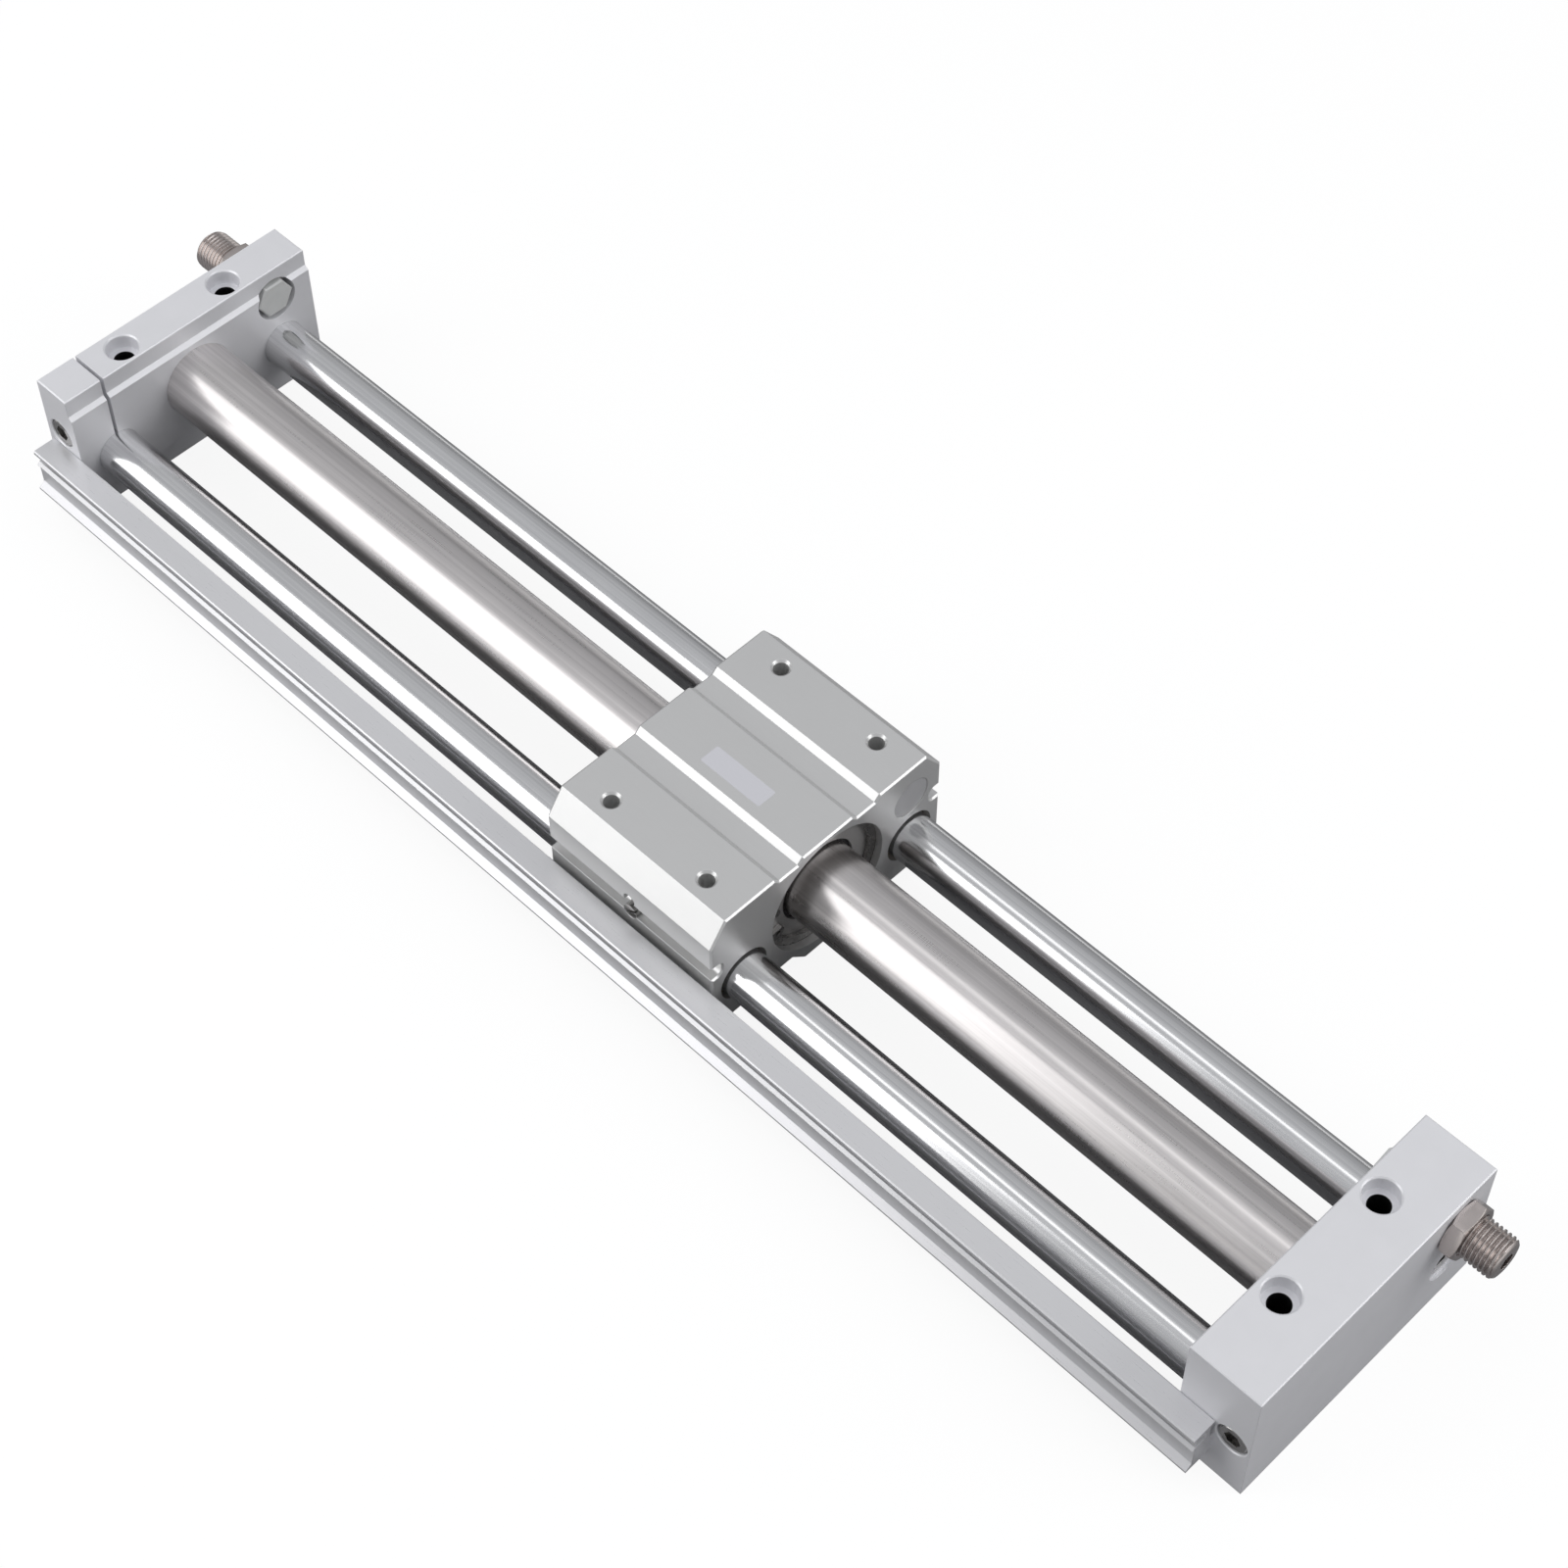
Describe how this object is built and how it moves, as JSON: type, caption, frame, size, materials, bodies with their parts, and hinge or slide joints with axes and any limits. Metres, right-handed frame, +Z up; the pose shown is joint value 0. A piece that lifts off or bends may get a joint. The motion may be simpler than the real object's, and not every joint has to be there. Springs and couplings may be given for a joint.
{
  "type": "rodless pneumatic cylinder",
  "caption": "Magnetically coupled rodless air cylinder: a slide block on guide shafts follows a piston sealed in a thin tube between two end plates, with adjustable stops.",
  "frame": {"origin": "centre of the four base holes, on the plane that the two end plates stand on", "axes": "+X along the stroke towards the thick end plate, +Y to the rear away from the switch rail, +Z up"},
  "size_m": [0.5505, 0.109, 0.0539],
  "materials": {
    "plate_aluminium": "bead-blasted clear-anodised aluminium",
    "block_aluminium": "clear-anodised extruded aluminium",
    "rail_aluminium": "extruded aluminium with fine lengthwise lines",
    "tube_steel": "polished stainless steel tube",
    "shaft_chrome": "hard-chromed ground steel",
    "fastener_steel": "zinc-plated steel",
    "plug_steel": "nickel-plated steel",
    "ring_steel": "phosphated spring steel",
    "yoke_steel": "zinc-plated rolled steel",
    "magnet": "coated magnet",
    "holder_aluminium": "turned aluminium",
    "piston_aluminium": "turned aluminium",
    "seal_rubber": "nitrile rubber",
    "bumper_urethane": "hard urethane",
    "bearing_resin": "bearing resin",
    "bushing_metal": "sintered bearing metal",
    "pad_resin": "grey resin"
  },
  "bodies": {
    "frame": {"end_plate_left": "plate_aluminium", "end_plate_right": "plate_aluminium", "cylinder_tube": "tube_steel", "tube_gaskets": "seal_rubber", "guide_shaft_front": "shaft_chrome", "guide_shaft_rear": "shaft_chrome", "switch_rail": "rail_aluminium", "rail_screws": "fastener_steel", "clamp_screw": "plug_steel", "side_plug": "plug_steel", "axial_plug": "plug_steel"},
    "carriage": {"slide_block": "block_aluminium", "switch_magnet": "magnet", "magnet_screw": "plug_steel", "magnet_sleeve": "tube_steel", "outer_magnet_1": "magnet", "outer_magnet_2": "magnet", "outer_magnet_3": "magnet", "outer_yoke_1": "yoke_steel", "outer_yoke_2": "yoke_steel", "outer_yoke_3": "yoke_steel", "outer_yoke_4": "yoke_steel", "end_pad_left": "pad_resin", "end_holder_left": "holder_aluminium", "wear_ring_left": "bearing_resin", "scraper_left": "seal_rubber", "retaining_ring_left": "ring_steel", "guide_bushing_front_left": "bushing_metal", "guide_bushing_rear_left": "bushing_metal", "end_pad_right": "pad_resin", "end_holder_right": "holder_aluminium", "wear_ring_right": "bearing_resin", "scraper_right": "seal_rubber", "retaining_ring_right": "ring_steel", "guide_bushing_front_right": "bushing_metal", "guide_bushing_rear_right": "bushing_metal"},
    "piston": {"piston_rod": "fastener_steel", "inner_magnet_1": "magnet", "inner_magnet_2": "magnet", "inner_magnet_3": "magnet", "inner_yoke_1": "yoke_steel", "inner_yoke_2": "yoke_steel", "inner_yoke_3": "yoke_steel", "inner_yoke_4": "yoke_steel", "piston_left": "piston_aluminium", "piston_guide_ring_left": "bearing_resin", "piston_seal_left": "seal_rubber", "rod_nut_left": "fastener_steel", "cushion_left": "seal_rubber", "piston_right": "piston_aluminium", "piston_guide_ring_right": "bearing_resin", "piston_seal_right": "seal_rubber", "rod_nut_right": "fastener_steel", "cushion_right": "seal_rubber"},
    "bumper_left": {"bumper_left": "bumper_urethane"},
    "stop_bolt_left": {"stop_bolt_left": "fastener_steel"},
    "lock_nut_left": {"lock_nut_left": "fastener_steel"},
    "bumper_right": {"bumper_right": "bumper_urethane"},
    "stop_bolt_right": {"stop_bolt_right": "fastener_steel"},
    "lock_nut_right": {"lock_nut_right": "fastener_steel"}
  },
  "joints": [
    {"name": "carriage_slide", "type": "slide", "parent": "frame", "child": "carriage", "axis": [1, 0, 0], "range_m": [-0.2223, 0.1777]},
    {"name": "piston_slide", "type": "slide", "parent": "frame", "child": "piston", "axis": [1, 0, 0], "range_m": [-0.2223, 0.1777]},
    {"name": "bumper_slide_left", "type": "slide", "parent": "frame", "child": "bumper_left", "axis": [1, 0, 0], "range_m": [-0.0014, 0.0023]},
    {"name": "stop_bolt_turn_left", "type": "hinge", "parent": "bumper_left", "child": "stop_bolt_left", "pos_m": [-0.245, 0.0353, 0.0405], "axis": [1, 0, 0], "range_deg": [-336, 552]},
    {"name": "lock_nut_turn_left", "type": "hinge", "parent": "frame", "child": "lock_nut_left", "pos_m": [-0.245, 0.0353, 0.0405], "axis": [1, 0, 0], "range_deg": [-180, 0]},
    {"name": "bumper_slide_right", "type": "slide", "parent": "frame", "child": "bumper_right", "axis": [-1, 0, 0], "range_m": [-0.0037, 0.0008]},
    {"name": "stop_bolt_turn_right", "type": "hinge", "parent": "bumper_right", "child": "stop_bolt_right", "pos_m": [0.245, 0.0353, 0.0405], "axis": [-1, 0, 0], "range_deg": [-888, 192]},
    {"name": "lock_nut_turn_right", "type": "hinge", "parent": "frame", "child": "lock_nut_right", "pos_m": [0.245, 0.0353, 0.0405], "axis": [-1, 0, 0], "range_deg": [-180, 0]}
  ],
  "couplings": [
    {"joint": "piston_slide", "follows": "carriage_slide", "ratio": 1},
    {"joint": "stop_bolt_turn_left", "follows": "bumper_slide_left", "rad_per_m": 4188.8},
    {"joint": "stop_bolt_turn_right", "follows": "bumper_slide_right", "rad_per_m": 4188.8}
  ]
}
